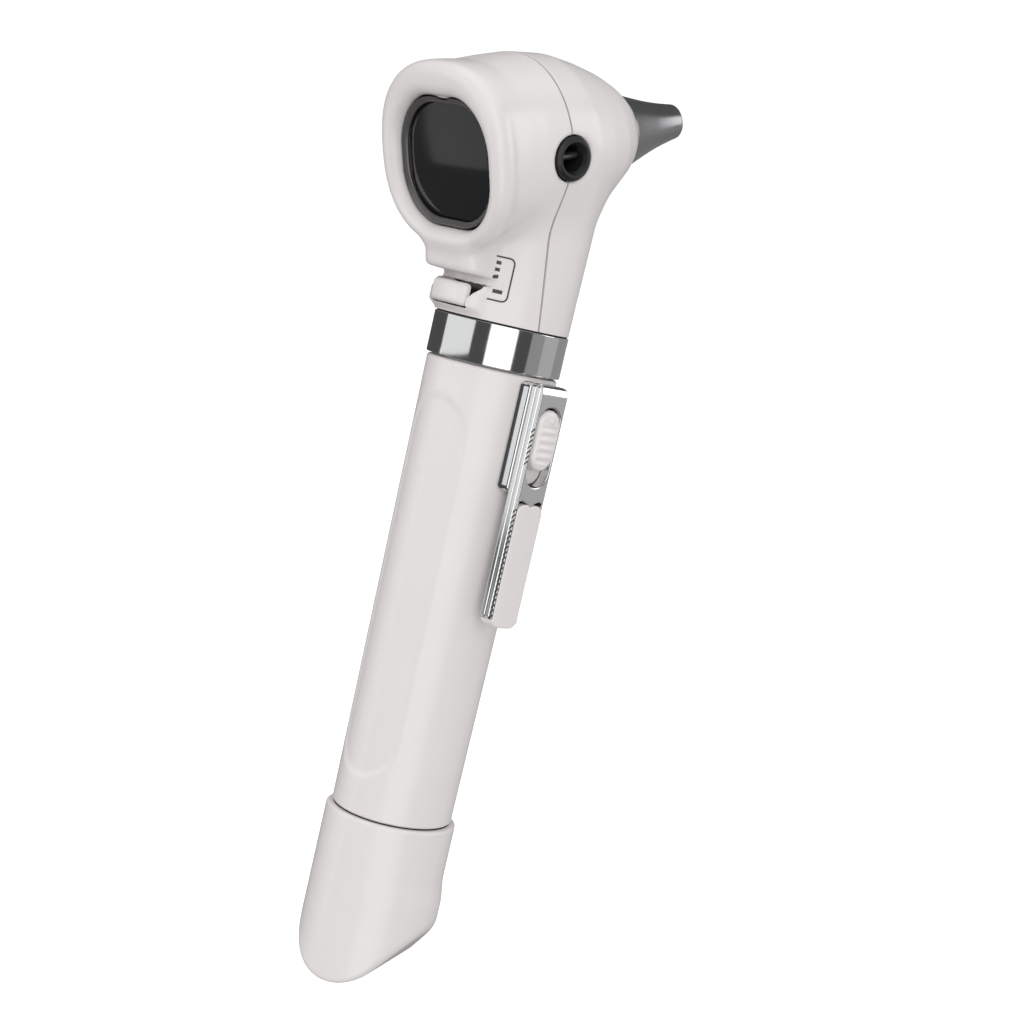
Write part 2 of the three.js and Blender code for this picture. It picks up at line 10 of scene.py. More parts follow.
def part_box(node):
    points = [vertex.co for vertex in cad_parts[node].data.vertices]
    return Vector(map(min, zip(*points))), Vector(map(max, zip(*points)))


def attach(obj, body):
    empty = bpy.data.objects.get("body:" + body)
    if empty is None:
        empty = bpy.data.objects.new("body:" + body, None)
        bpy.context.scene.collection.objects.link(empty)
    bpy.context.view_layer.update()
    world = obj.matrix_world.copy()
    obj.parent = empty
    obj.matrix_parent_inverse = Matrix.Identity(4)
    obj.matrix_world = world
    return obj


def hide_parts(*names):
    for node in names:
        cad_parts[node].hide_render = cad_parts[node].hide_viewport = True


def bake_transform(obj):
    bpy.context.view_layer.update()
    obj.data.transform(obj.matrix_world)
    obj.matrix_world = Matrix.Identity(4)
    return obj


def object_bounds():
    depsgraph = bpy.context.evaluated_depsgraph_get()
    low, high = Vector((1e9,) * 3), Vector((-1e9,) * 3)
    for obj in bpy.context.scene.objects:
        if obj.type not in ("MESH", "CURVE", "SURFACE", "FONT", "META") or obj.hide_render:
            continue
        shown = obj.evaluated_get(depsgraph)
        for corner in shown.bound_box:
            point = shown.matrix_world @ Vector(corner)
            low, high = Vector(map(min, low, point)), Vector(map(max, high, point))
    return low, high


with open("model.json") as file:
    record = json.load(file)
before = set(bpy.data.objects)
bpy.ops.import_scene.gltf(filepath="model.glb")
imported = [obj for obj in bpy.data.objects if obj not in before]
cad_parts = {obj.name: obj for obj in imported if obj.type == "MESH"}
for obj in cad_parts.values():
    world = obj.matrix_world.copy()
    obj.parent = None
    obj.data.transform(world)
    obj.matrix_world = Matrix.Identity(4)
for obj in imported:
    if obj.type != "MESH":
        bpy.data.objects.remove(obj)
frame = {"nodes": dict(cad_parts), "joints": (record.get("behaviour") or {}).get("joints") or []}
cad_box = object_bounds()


def joint(name):
    return next(j for j in frame["joints"] if j["name"] == name)


# ---------- places ----------
MM = 0.001
COLLAR_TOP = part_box("collar_ring")[1].z
sight_axis = joint("speculum_pull")["axis"]
SIGHT_TILT = math.atan2(sight_axis[2], sight_axis[1])
clip_axis = joint("clip_flex")["axis"]
HANDLE_TURN = math.atan2(clip_axis[0], -clip_axis[1])
SIGHT_HEIGHT = 27.05  # where the line of sight crosses the handle's axis
PORT_ALONG = -5.1  # the insufflation port's place along the line of sight

UPRIGHT = Matrix.Translation((0, 0, COLLAR_TOP)) @ Matrix.Scale(MM, 4)
TURNED = UPRIGHT @ Matrix.Rotation(HANDLE_TURN, 4, "Z")
SIGHT = UPRIGHT @ Matrix.Translation((0, 0, SIGHT_HEIGHT)) @ Matrix.Rotation(SIGHT_TILT, 4, "X")
ALONG_SIGHT = SIGHT @ Matrix.Rotation(-math.pi / 2, 4, "X")
PORT = SIGHT @ Matrix.Translation((0, PORT_ALONG, 0)) @ Matrix.Rotation(math.pi / 2, 4, "Y")


def height_of(node, end):
    """A CAD node's lowest (0) or highest (1) height, in millimetres from the collar's top."""
    return (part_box(node)[end].z - COLLAR_TOP) / MM


def radius_of(node):
    low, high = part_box(node)
    return (high.x - low.x) / 2 / MM


COLLAR_RADIUS = radius_of("collar_ring")
COLLAR_BOTTOM = height_of("collar_ring", 0)
HANDLE_TOP_RADIUS = 9.95
HANDLE_END_RADIUS = 9.3
HANDLE_TOP = COLLAR_BOTTOM - 0.3
CAP_SEAM = -76.15
SPIGOT_RADIUS = 8.4
SPIGOT_END = height_of("handle_tube", 0)
BORE_RADIUS = 7.5


# ---------- meshes ----------
def finish_mesh(name, mesh, body, material, replaced=()):
    """Makes a mesh in the frame's metres into a piece that rides on a body."""
    piece = bpy.data.objects.new(name, mesh)
    bpy.context.scene.collection.objects.link(piece)
    mesh.materials.append(material)
    if replaced:
        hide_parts(*replaced)
    if body:
        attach(piece, body)
    return piece


def mesh_from(name, points, faces, place):
    mesh = bpy.data.meshes.new(name)
    mesh.from_pydata([tuple(p) for p in points], [], [tuple(f) for f in faces])
    mesh.transform(place)
    mesh.validate()
    mesh.update()
    return mesh


def shade(mesh, sharp_angle=40):
    mesh.shade_smooth()
    mesh.set_sharp_from_angle(angle=math.radians(sharp_angle))


def rounded(profile, radius, steps=4):
    """A closed profile with an arc in place of each corner that leaves room for one."""
    points = [Vector(p) for p in profile]
    result = []
    for i, corner in enumerate(points):
        before, after = points[i - 1] - corner, points[(i + 1) % len(points)] - corner
        on_axis = corner.x < 1e-6
        if on_axis or before.length < 1e-6 or after.length < 1e-6 or radius < 1e-6:
            result.append(corner)
            continue
        turn = math.pi - before.angle(after)
        if turn < 0.15:
            result.append(corner)
            continue
        reach = min(radius * math.tan(turn / 2), 0.45 * before.length, 0.45 * after.length)
        start = corner + before.normalized() * reach
        end = corner + after.normalized() * reach
        for step in range(steps + 1):
            t = step / steps
            result.append(start * (1 - t) ** 2 + corner * 2 * t * (1 - t) + end * t * t)
    return [(p.x, p.y) for p in result]


def lathe(name, profile, place, sides=96, bulge=None):
    """A closed body turned about Z from (radius, height) points. bulge(angle, radius, height) moves its
    skin in or out."""
    points, rings = [], []
    for radius, height in profile:
        if radius < 1e-6:
            rings.append([len(points)] * sides)
            points.append((0, 0, height))
            continue
        rings.append(list(range(len(points), len(points) + sides)))
        for i in range(sides):
            angle = 2 * math.pi * i / sides
            r = radius + (bulge(angle, radius, height) if bulge else 0)
            points.append((r * math.cos(angle), r * math.sin(angle), height))
    faces = []
    closes = profile[0][0] > 1e-6
    pairs = zip(rings, rings[1:] + rings[:1]) if closes else zip(rings, rings[1:])
    for first, second in pairs:
        for i in range(sides):
            j = (i + 1) % sides
            loop = [first[i], first[j], second[j], second[i]]
            face = [v for k, v in enumerate(loop) if v != loop[k - 1]]
            if len(face) > 2:
                faces.append(face)
    mesh = mesh_from(name, points, faces, place)
    outward(mesh)
    shade(mesh)
    return mesh


def smooth_profile(points, steps=4):
    """More points along the smooth curve that runs through these."""
    known = np.array(points, float)
    spans = np.r_[0, np.cumsum(np.linalg.norm(np.diff(known, axis=0), axis=1))]
    slope = np.gradient(known, spans, axis=0)
    result = []
    for i in range(len(known) - 1):
        size = spans[i + 1] - spans[i]
        for step in range(steps):
            t = step / steps
            a, b = 2 * t**3 - 3 * t**2 + 1, t**3 - 2 * t**2 + t
            c, d = -2 * t**3 + 3 * t**2, t**3 - t**2
            point = a * known[i] + b * size * slope[i] + c * known[i + 1] + d * size * slope[i + 1]
            result.append(point.tolist())
    return result + [known[-1].tolist()]


def outward(mesh):
    """Turns a closed mesh's faces outward."""
    work = bmesh.new()
    work.from_mesh(mesh)
    bmesh.ops.recalc_face_normals(work, faces=work.faces)
    work.to_mesh(mesh)
    work.free()


# ---------- shapes as distance fields ----------
def smooth_max(a, b, k):
    """The larger of two distances, with the corner between them rounded over about k."""
    h = np.clip(0.5 + 0.5 * (a - b) / k, 0, 1)
    return b + (a - b) * h + k * h * (1 - h)


def smooth_min(a, b, k):
    return -smooth_max(-a, -b, k)


def smooth_step(value, low, high):
    t = np.clip((value - low) / (high - low), 0, 1)
    return t * t * (3 - 2 * t)


def rounded_box(x, y, half_x, half_y, corner):
    qx, qy = np.abs(x) - half_x + corner, np.abs(y) - half_y + corner
    return np.hypot(np.maximum(qx, 0), np.maximum(qy, 0)) + np.minimum(np.maximum(qx, qy), 0) - corner


def slopes(field, points, reach=0.04):
    """The field's gradient at each point."""
    result = np.empty_like(points)
    for axis in range(3):
        ahead, behind = points.copy(), points.copy()
        ahead[:, axis] += reach
        behind[:, axis] -= reach
        result[:, axis] = (field(*ahead.T) - field(*behind.T)) / (2 * reach)
    return result


def skin(name, field, low, high, step, place, exact_normals=True):
    """The closed surface where a field is zero, as a mesh: surface nets, then drawn onto the surface."""
    low, high = np.array(low, float) - step, np.array(high, float) + 2 * step
    axes = [np.arange(a, b, step) for a, b in zip(low, high)]
    values = field(*np.meshgrid(*axes, indexing="ij"))
    inside = values < 0
    cells = tuple(n - 1 for n in values.shape)
    corners = [(i, j, k) for i in (0, 1) for j in (0, 1) for k in (0, 1)]
    count = np.zeros(cells, np.int8)
    for i, j, k in corners:
        count += inside[i : i + cells[0], j : j + cells[1], k : k + cells[2]]
    where = np.argwhere((count > 0) & (count < 8))
    index = np.full(cells, -1)
    index[tuple(where.T)] = np.arange(len(where))
    total, hits = np.zeros((len(where), 3)), np.zeros(len(where))
    units = np.eye(3, dtype=int)
    for axis in range(3):
        for corner in corners:
            if corner[axis]:
                continue
            start = where + corner
            a, b = values[tuple(start.T)], values[tuple((start + units[axis]).T)]
            crossed = (a < 0) != (b < 0)
            share = a[crossed] / (a[crossed] - b[crossed])
            total[crossed] += start[crossed] + units[axis] * share[:, None]
            hits[crossed] += 1
    points = low + step * total / hits[:, None]
    for _ in range(4):
        slope = slopes(field, points)
        move = (field(*points.T) / np.maximum((slope**2).sum(1), 0.05))[:, None] * slope
        length = np.linalg.norm(move, axis=1, keepdims=True)
        points -= move * np.minimum(1, 0.5 * step / np.maximum(length, 1e-9))
    faces = []
    for axis in range(3):
        side, other = units[(axis + 1) % 3], units[(axis + 2) % 3]
        size = np.array(inside.shape) - units[axis]
        near = inside[: size[0], : size[1], : size[2]]
        far = inside[units[axis][0] :, units[axis][1] :, units[axis][2] :]
        edges = np.argwhere(near != far)
        around = [edges, edges - side, edges - side - other, edges - other]
        quads = np.stack([index[tuple(cell.T)] for cell in around], 1)
        backward = ~near[tuple(edges.T)]
        quads[backward] = quads[backward][:, ::-1]
        faces.append(quads)
    mesh = mesh_from(name, points, np.concatenate(faces).tolist(), place)
    mesh.shade_smooth()
    if exact_normals:
        normals = slopes(field, points) @ np.array(place.to_3x3()).T
        normals /= np.linalg.norm(normals, axis=1, keepdims=True)
        mesh.normals_split_custom_set_from_vertices(normals.tolist())
    return mesh


# ---------- materials ----------
def material(
    name, colour, roughness, metallic=0.0, shift=0.03, uneven=0.04, grain=0.1, grain_size=0.25, coat=0.0
):
    """A procedural finish. shift is how far its colour wanders, uneven how far its roughness does, and grain
    the strength of a fine bump of about grain_size millimetres."""
    made = bpy.data.materials.new(name)
    made.use_nodes = True
    nodes, links = made.node_tree.nodes, made.node_tree.links
    shader = nodes["Principled BSDF"]
    place = nodes.new("ShaderNodeTexCoord").outputs["Object"]

    def noise(size, detail=3.0):
        node = nodes.new("ShaderNodeTexNoise")
        node.inputs["Scale"].default_value = 1 / (size * MM)
        node.inputs["Detail"].default_value = detail
        links.new(place, node.inputs["Vector"])
        return node.outputs["Fac"]

    ramp = nodes.new("ShaderNodeValToRGB")
    ramp.color_ramp.elements[0].position = 0.3
    ramp.color_ramp.elements[1].position = 0.7
    ramp.color_ramp.elements[0].color = (*[c * (1 - shift) for c in colour], 1)
    ramp.color_ramp.elements[1].color = (*[min(1, c * (1 + shift)) for c in colour], 1)
    links.new(noise(9), ramp.inputs["Fac"])
    links.new(ramp.outputs["Color"], shader.inputs["Base Color"])
    spread = nodes.new("ShaderNodeMapRange")
    spread.inputs["To Min"].default_value = max(0.02, roughness - uneven)
    spread.inputs["To Max"].default_value = roughness + uneven
    links.new(noise(2.2), spread.inputs["Value"])
    links.new(spread.outputs["Result"], shader.inputs["Roughness"])
    bump = nodes.new("ShaderNodeBump")
    bump.inputs["Strength"].default_value = grain
    bump.inputs["Distance"].default_value = 0.02 * MM
    links.new(noise(grain_size, 2.0), bump.inputs["Height"])
    links.new(bump.outputs["Normal"], shader.inputs["Normal"])
    shader.inputs["Metallic"].default_value = metallic
    shader.inputs["Coat Weight"].default_value = coat
    shader.inputs["Coat Roughness"].default_value = 0.08
    return made


WHITE = material(
    "white_plastic", (0.755, 0.727, 0.718), 0.31, shift=0.012, uneven=0.02, grain=0.08, coat=0.15
)
CHROME = material("chrome", (0.80, 0.805, 0.81), 0.09, metallic=1.0, shift=0.02, uneven=0.03, grain=0.02)
BLACK = material("black_plastic", (0.018, 0.018, 0.019), 0.42, shift=0.15, grain=0.2)
INK = material("label_ink", (0.06, 0.06, 0.06), 0.5, shift=0.1, grain=0.05)
# Chrome darkened as painted shade, for the ridges at the clip's edge.
PAINTED_SHADE_CHROME = material("painted_shade_chrome", (0.13, 0.13, 0.135), 0.22, metallic=1.0, grain=0.02)
RUBBER = material("rubber", (0.022, 0.022, 0.022), 0.75, shift=0.2, grain=0.4)
DARK_METAL = material("dark_metal", (0.16, 0.16, 0.17), 0.33, metallic=0.9, grain=0.1)
TRIM = material("window_trim", (0.15, 0.147, 0.144), 0.33, metallic=0.5, shift=0.08, grain=0.08)
BRASS = material("brass", (0.70, 0.50, 0.20), 0.22, metallic=1.0, shift=0.06)
STEEL = material("spring_steel", (0.55, 0.55, 0.57), 0.33, metallic=1.0, shift=0.05)
BOARD = material("circuit_board", (0.02, 0.12, 0.05), 0.5, shift=0.3, grain=0.3)
LENS = material("lens_glass", (0.012, 0.0125, 0.0135), 0.08, shift=0.1, uneven=0.01, grain=0.0, coat=0.6)
CLEAR = material("light_guide", (0.75, 0.82, 0.85), 0.12, shift=0.03, grain=0.02, coat=0.5)
SPECULUM = material(
    "speculum_plastic", (0.35, 0.35, 0.36), 0.24, metallic=0.9, shift=0.06, uneven=0.02, grain=0.04
)
CELL = material("cell_wrap", (0.03, 0.09, 0.25), 0.22, metallic=0.3, shift=0.2, grain=0.05, coat=0.3)


# ---------- head ----------
RIM_FRONT = -19.6
NOSE_FRONT = 13.4
WALL = 1.8
HEAD_BOTTOM = height_of("front_housing", 0) - 0.15
NECK = {"radius": 10.1, "flare": 0.25, "flare_run": 18.5, "flare_top": 19, "top": 22, "fillet": 3.2}
SOCKET = {"radius": 9.3, "depth": 1.2}  # the wider mouth at the neck's foot
# Outline across the line of sight: place along it, half width, top, bottom, squareness.
OUTLINE = np.array([
    [-22, 14.4, 14.45, -12.4, 2.4],
    [-17.2, 14.4, 14.45, -12.4, 2.4],
    [-15.6, 13.7, 14.3, -11.4, 2.5],
    [-13, 13.3, 14, -11.1, 2.5],
    [-9, 13.1, 14.2, -11.6, 2.3],
    [-5, 13.2, 14.2, -12, 2.15],
    [0, 13.1, 13.4, -12, 2.05],
    [4, 12, 11.9, -10.8, 2],
    [8, 10.5, 10, -9, 2],
    [11, 8.6, 8.1, -7.3, 2],
    [12.8, 7, 6.6, -6.1, 2],
    [14.5, 5.2, 4.9, -4.8, 2],
])
CHIN = {"half": 6, "back": -13.0, "front": -6, "bottom": 6.1, "top": 15, "lean": 0.28, "lean_cos": 0.963}
CHIN_EDGE = 2.6
TONGUE = {"half": 4, "back": -12.1, "bottom": 1.45, "top": 4.8, "thick": 1.2, "curve": 0.035}
STEM = {"half": 2.4, "tall": 1.2, "front": -9.2}
TONGUE_GAP = {"below": 0.2, "above": 0.25, "beside": 0.15, "widening": 1.3, "front": -8}
SHALLOW_GAP = {"half": 7, "floor": 10.15}
WINDOW = {"half": 10.8, "tall": 9.4, "corner": 7.9, "depth": 8, "lip": 2.2}
TOOTH = {"up": 10.2, "radius": 1.2, "setback": 2.5, "half": 0.8}
NOSE_HOLE = {"radius": 5.1, "depth": 6}
PORT_HOLE = {"radius": 3.3, "floor": 7}
PORT_BORE = 1.9
PARTING_FOOT = -1.3  # where the parting line meets the neck's foot


def soft_table(column, width=1.0):
    """The outline's column against place along, with its corners smoothed over about width."""
    along = np.arange(-21.5, 14.2, 0.1)
    kernel = np.hanning(int(2 * width / 0.1) + 3)
    padded = np.interp(np.arange(-24, 17, 0.1), OUTLINE[:, 0], OUTLINE[:, column])
    smoothed = np.convolve(padded, kernel / kernel.sum(), mode="same")
    return along, np.interp(along, np.arange(-24, 17, 0.1), smoothed)


TABLES = [soft_table(column) for column in (1, 2, 3, 4)]


def to_sight(y, z):
    """Place along the line of sight, and height above it."""
    rise = z - SIGHT_HEIGHT
    cos, sin = math.cos(SIGHT_TILT), math.sin(SIGHT_TILT)
    return y * cos + rise * sin, rise * cos - y * sin


def head_body(x, along, up, inset):
    half_width, top, bottom, squareness = (np.interp(along, *table) for table in TABLES)
    middle, half_height = (top + bottom) / 2, (top - bottom) / 2 - inset
    half_width = half_width - inset
    across, rise = np.abs(x) / half_width, np.abs(up - middle) / half_height
    reach = (across**squareness + rise**squareness + 1e-9) ** (1 / squareness)
    return (reach - 1) * np.minimum(half_width, half_height)


def neck_radius(z):
    return NECK["radius"] + NECK["flare"] * np.clip(z, 0, NECK["flare_top"]) / NECK["flare_run"]


def chin(x, y, z):
    """The block under the rim and, below the gap for the tongue, its foot."""
    back = (CHIN["back"] - y - CHIN["lean"] * (z - CHIN["bottom"])) * CHIN["lean_cos"]
    box = smooth_max(np.abs(x) - CHIN["half"], back, CHIN_EDGE)
    box = smooth_max(box, CHIN["bottom"] - z, 0.9)
    box = smooth_max(box, np.maximum(z - CHIN["top"], y - CHIN["front"]), 1)
    foot_back = TONGUE["back"] + 0.12 + TONGUE["curve"] * x * x + 1.9 * (1 - smooth_step(z, 0, 1.7))
    foot = smooth_max(np.abs(x) - CHIN["half"] + 0.2, foot_back - y, CHIN_EDGE)
    foot = np.maximum(foot, np.maximum(z - CHIN["bottom"] - 1, y - CHIN["front"]))
    return np.minimum(box, foot)


def head_outside(x, y, z):
    along, up = to_sight(y, z)
    body = smooth_max(head_body(x, along, up, 0), RIM_FRONT - along, 2.0)
    body = smooth_max(body, along - NOSE_FRONT, 1.0)
    neck = smooth_max(np.hypot(x, y) - neck_radius(z), z - NECK["top"], 3)
    shape = smooth_min(body, neck, NECK["fillet"])
    return smooth_min(shape, chin(x, y, z), 1.2)


def slot_field(x, y, z):
    """The gap the release tongue sits in: deep behind it and beside its upper corners, and shallow above
    it."""
    floor, roof = TONGUE["bottom"] - TONGUE_GAP["below"], TONGUE["top"] + TONGUE_GAP["above"]
    side = TONGUE["half"] + TONGUE_GAP["beside"] + TONGUE_GAP["widening"] * smooth_step(z, 2.5, 4.8)
    deep = np.maximum(np.abs(x) - side, np.maximum(floor - z, z - roof))
    deep = np.maximum(deep, y - TONGUE_GAP["front"])
    shallow = np.maximum(np.abs(x) - SHALLOW_GAP["half"], np.maximum(roof - 0.1 - z, z - CHIN["bottom"]))
    return np.minimum(deep, smooth_max(shallow, SHALLOW_GAP["floor"] - np.hypot(x, y), 0.3))


def head_field(x, y, z):
    along, up = to_sight(y, z)
    shape = head_outside(x, y, z)
    hollow = smooth_max(head_body(x, along, up, WALL), RIM_FRONT + 4 - along, 1)
    hollow = smooth_max(hollow, along - NOSE_FRONT + WALL, 1)
    bore = np.maximum(np.hypot(x, y) - neck_radius(z) + WALL, z - NECK["top"])
    bore = np.minimum(bore, np.maximum(np.hypot(x, y) - SOCKET["radius"], z - SOCKET["depth"]))
    shape = smooth_max(shape, -smooth_min(hollow, bore, 1), 0.3)
    opening = rounded_box(x, up, WINDOW["half"], WINDOW["tall"], WINDOW["corner"])
    window = np.maximum(opening, along - RIM_FRONT - WINDOW["depth"])
    shape = smooth_max(shape, -window, WINDOW["lip"])
    tooth = np.hypot(0.62 * x, up - TOOTH["up"]) - TOOTH["radius"]
    tooth = np.maximum(tooth, np.abs(along - RIM_FRONT - TOOTH["setback"]) - TOOTH["half"])
    shape = smooth_min(shape, tooth, 0.4)
    nose = np.maximum(np.hypot(x, up) - NOSE_HOLE["radius"], NOSE_FRONT - NOSE_HOLE["depth"] - along)
    shape = smooth_max(shape, -nose, 0.5)
    port = np.maximum(np.hypot(along - PORT_ALONG, up) - PORT_HOLE["radius"], PORT_HOLE["floor"] - x)
    shape = smooth_max(shape, -port, 0.5)
    shape = smooth_max(shape, -slot_field(x, y, z), 0.25)
    return np.maximum(shape, HEAD_BOTTOM - 0.6 - z)


def parting_prism(behind, gap=0.32):
    """The space behind or in front of the parting line, which leans back below the port."""
    side = -1 if behind else 1
    cos, sin = math.cos(SIGHT_TILT), math.sin(SIGHT_TILT)
    port = Vector((PORT_ALONG * cos, SIGHT_HEIGHT + PORT_ALONG * sin))
    shift = Vector((side * gap / 2, 0))
    above, far, wide = 45, 60 * side, 30  # all well outside the head
    outline = [Vector((-sin, cos)) * above + port + shift, port + shift]
    outline.append(Vector((PARTING_FOOT, HEAD_BOTTOM)) + shift)
    outline += [Vector((far, HEAD_BOTTOM)), Vector((far, outline[0].y))]
    points = [(x, p.x, p.y) for x in (-wide, wide) for p in outline]
    count = len(outline)
    faces = [list(range(count))[::-1], list(range(count, 2 * count))]
    faces += [[i, (i + 1) % count, count + (i + 1) % count, count + i] for i in range(count)]
    mesh = mesh_from("parting", points, faces, UPRIGHT)
    outward(mesh)
    cutter = bpy.data.objects.new("parting", mesh)
    bpy.context.scene.collection.objects.link(cutter)
    return cutter


def build_head():
    low, high = (-15.2, -24.5, -0.8), (15.2, 19, 47.7)
    whole = skin("head", head_field, low, high, 0.4, UPRIGHT, exact_normals=False)
    for name, behind in (("rear_shell", True), ("front_shell", False)):
        mesh = whole.copy()
        carrier = bpy.data.objects.new(name + "_cut", mesh)
        bpy.context.scene.collection.objects.link(carrier)
        cutter = parting_prism(behind)
        cut = carrier.modifiers.new("half", "BOOLEAN")
        cut.operation, cut.solver, cut.object = "INTERSECT", "EXACT", cutter
        bpy.context.view_layer.update()
        evaluated = carrier.evaluated_get(bpy.context.evaluated_depsgraph_get())
        half = bpy.data.meshes.new_from_object(evaluated)
        half.materials.clear()
        bpy.data.objects.remove(carrier)
        bpy.data.objects.remove(cutter)
        shade(half, 50)
        node = "rear_housing" if behind else "front_housing"
        finish_mesh(name, half, "head", WHITE, [node])


def tongue_field(x, y, z):
    """A thin curved plate on a narrower stem."""
    middle = (TONGUE["bottom"] + TONGUE["top"]) / 2
    face = rounded_box(x, z - middle, TONGUE["half"], TONGUE["top"] - middle, 0.7)
    curve = TONGUE["back"] + TONGUE["curve"] * x * x
    plate = smooth_max(smooth_max(face, curve - y, 1.0), y - curve - TONGUE["thick"], 0.3)
    stem = rounded_box(x, z - middle, STEM["half"], STEM["tall"], 0.4)
    stem = np.maximum(stem, np.maximum(curve + 0.5 - y, y - STEM["front"]))
    return smooth_min(plate, stem, 0.3)


def build_tongue():
    low, high = (-4.4, -12, 1.2), (4.4, -9, 4.7)
    mesh = skin("release_tongue", tongue_field, low, high, 0.16, UPRIGHT)
    finish_mesh("release_tongue", mesh, "release", WHITE, ["release_tab"])


LABEL = {"radius": 10.2, "lift": 0.03, "sunk": 0.1}  # the neck's radius there, and the ink's two faces


def ink_line(path, half):
    """Corners and faces of a thin line on the neck, along (degrees round from +X, height) points."""
    radius, lift, sunk = LABEL["radius"], LABEL["lift"], -LABEL["sunk"]
    dense = []
    for (a0, z0), (a1, z1) in zip(path, path[1:]):
        run = math.hypot(math.radians(a1 - a0) * radius, z1 - z0)
        pieces = max(1, int(run / 0.25))
        dense += [(a0 + (a1 - a0) * i / pieces, z0 + (z1 - z0) * i / pieces) for i in range(pieces)]
    dense.append(path[-1])
    flat = np.array([(math.radians(a) * radius, z) for a, z in dense])
    ahead = np.gradient(flat, axis=0)
    ahead /= np.linalg.norm(ahead, axis=1, keepdims=True)
    across = np.stack([-ahead[:, 1], ahead[:, 0]], 1)
    points = []
    for level, side in ((lift, -half), (lift, half), (sunk, half), (sunk, -half)):
        turn, height = (flat + across * side).T
        column = np.stack([radius * np.cos(turn / radius), radius * np.sin(turn / radius), height], 1)
        for _ in range(4):
            slope = slopes(head_outside, column)
            column -= ((head_outside(*column.T) - level) / (slope**2).sum(1))[:, None] * slope
        points.append(column)
    count = len(flat)
    faces = []
    for k in range(4):
        a, b = k * count, (k + 1) % 4 * count
        faces += [[a + i, a + i + 1, b + i + 1, b + i] for i in range(count - 1)]
    faces += [[k * count for k in range(4)], [k * count + count - 1 for k in (3, 2, 1, 0)]]
    return np.concatenate(points), faces


def build_label():
    """A thin outline printed on the neck beside the release tongue, with plain marks in it."""
    left, right, low, high, corner = -57.5, -40.5, 3.3, 9.6, 0.8
    border_half, mark_half, bar_half = 0.12, 0.25, 0.27
    span = math.degrees(corner / LABEL["radius"])
    outline = [(left - 2, high)]
    for i in range(9):
        turn = math.pi / 2 * i / 8
        outline.append((right - span + span * math.sin(turn), high - corner * (1 - math.cos(turn))))
    for i in range(9):
        turn = math.pi / 2 * i / 8
        outline.append((right - span + span * math.cos(turn), low + corner * (1 - math.sin(turn))))
    outline.append((left, low))
    lines = [(outline, border_half)]
    lines += [([(-57, 8.7 - i), (-51.5, 8.7 - i)], mark_half) for i in range(3)]
    lines += [([(-53.8, 4.6), (-45.5, 4.6)], bar_half)]
    points, faces = [], []
    for path, half in lines:
        some, loops = ink_line(path, half)
        faces += [[sum(map(len, points)) + v for v in loop] for loop in loops]
        points.append(some)
    mesh = mesh_from("neck_label", np.concatenate(points), faces, UPRIGHT)
    outward(mesh)
    shade(mesh)
    finish_mesh("neck_label", mesh, "head", INK)


# Half width, half height and corner of each outline in the window, across the line of sight.
BEZEL_EDGE = (9.65, 9, 6.6)
BEZEL_OPENING = (8.9, 8.35, 5.7)
LENS_SEAT = (9.1, 8.55, 5.9)
LENS_EDGE = (9.04, 8.49, 5.85)
# Where each piece starts and ends along the line of sight.
TRIM_SPAN = (-18.15, -17.2)
BEZEL_SPAN = (-17.46, -13.1)
LENS_SPAN = (-17.5, -15.2)
SEAT_FRONT = -17.4


def tooth_notch(x, z):
    """Room for the head's small tooth at the top of the window."""
    return np.hypot(0.6 * x, z - TOOTH["up"]) - (TOOTH["radius"] + 0.2)


def trim_field(x, y, z):
    """A ring inside the window's lip, whose opening narrows toward the bezel."""
    gap, half, tall = 0.25, WINDOW["half"], WINDOW["tall"]
    inset = 0.2 + 0.9 * smooth_step(y, -18.4, -17.5)
    outside = rounded_box(x, z, half - gap, tall - gap, 7.7)
    ring = smooth_max(outside, -rounded_box(x, z, half - inset, tall - inset, 7), 0.15)
    ring = smooth_max(smooth_max(ring, TRIM_SPAN[0] - y, 0.2), y - TRIM_SPAN[1], 0.05)
    return np.maximum(ring, -tooth_notch(x, z))


def bezel_field(x, y, z):
    ring = smooth_max(rounded_box(x, z, *BEZEL_EDGE), -rounded_box(x, z, *BEZEL_OPENING), 0.2)
    ring = smooth_max(ring, BEZEL_SPAN[0] - y, 0.1)
    seat = smooth_max(rounded_box(x, z, *LENS_SEAT), SEAT_FRONT - y, 0.05)
    ring = smooth_max(smooth_max(ring, -seat, 0.1), y - BEZEL_SPAN[1], 0.3)
    return np.maximum(ring, -tooth_notch(x, z))


def lens_field(x, y, z):
    dome = LENS_SPAN[0] - y + 0.002 * x * x + 0.0085 * z * z
    return smooth_max(smooth_max(rounded_box(x, z, *LENS_EDGE), dome, 0.15), y - LENS_SPAN[1], 0.2)


def build_window():
    mesh = skin("window_trim", trim_field, (-10.7, -18.3, -9.3), (10.7, -17, 9.3), 0.2, SIGHT)
    finish_mesh("window_trim", mesh, "lens", TRIM)
    low, high = (-9.8, -17.8, -9.5), (9.8, -13, 9.5)
    mesh = skin("window_bezel", bezel_field, low, high, 0.22, SIGHT)
    finish_mesh("window_bezel", mesh, "lens", BLACK, ["lens_bezel"])
    mesh = skin("window_glass", lens_field, low, high, 0.25, SIGHT)
    finish_mesh("window_glass", mesh, "lens", LENS, ["viewing_lens"])


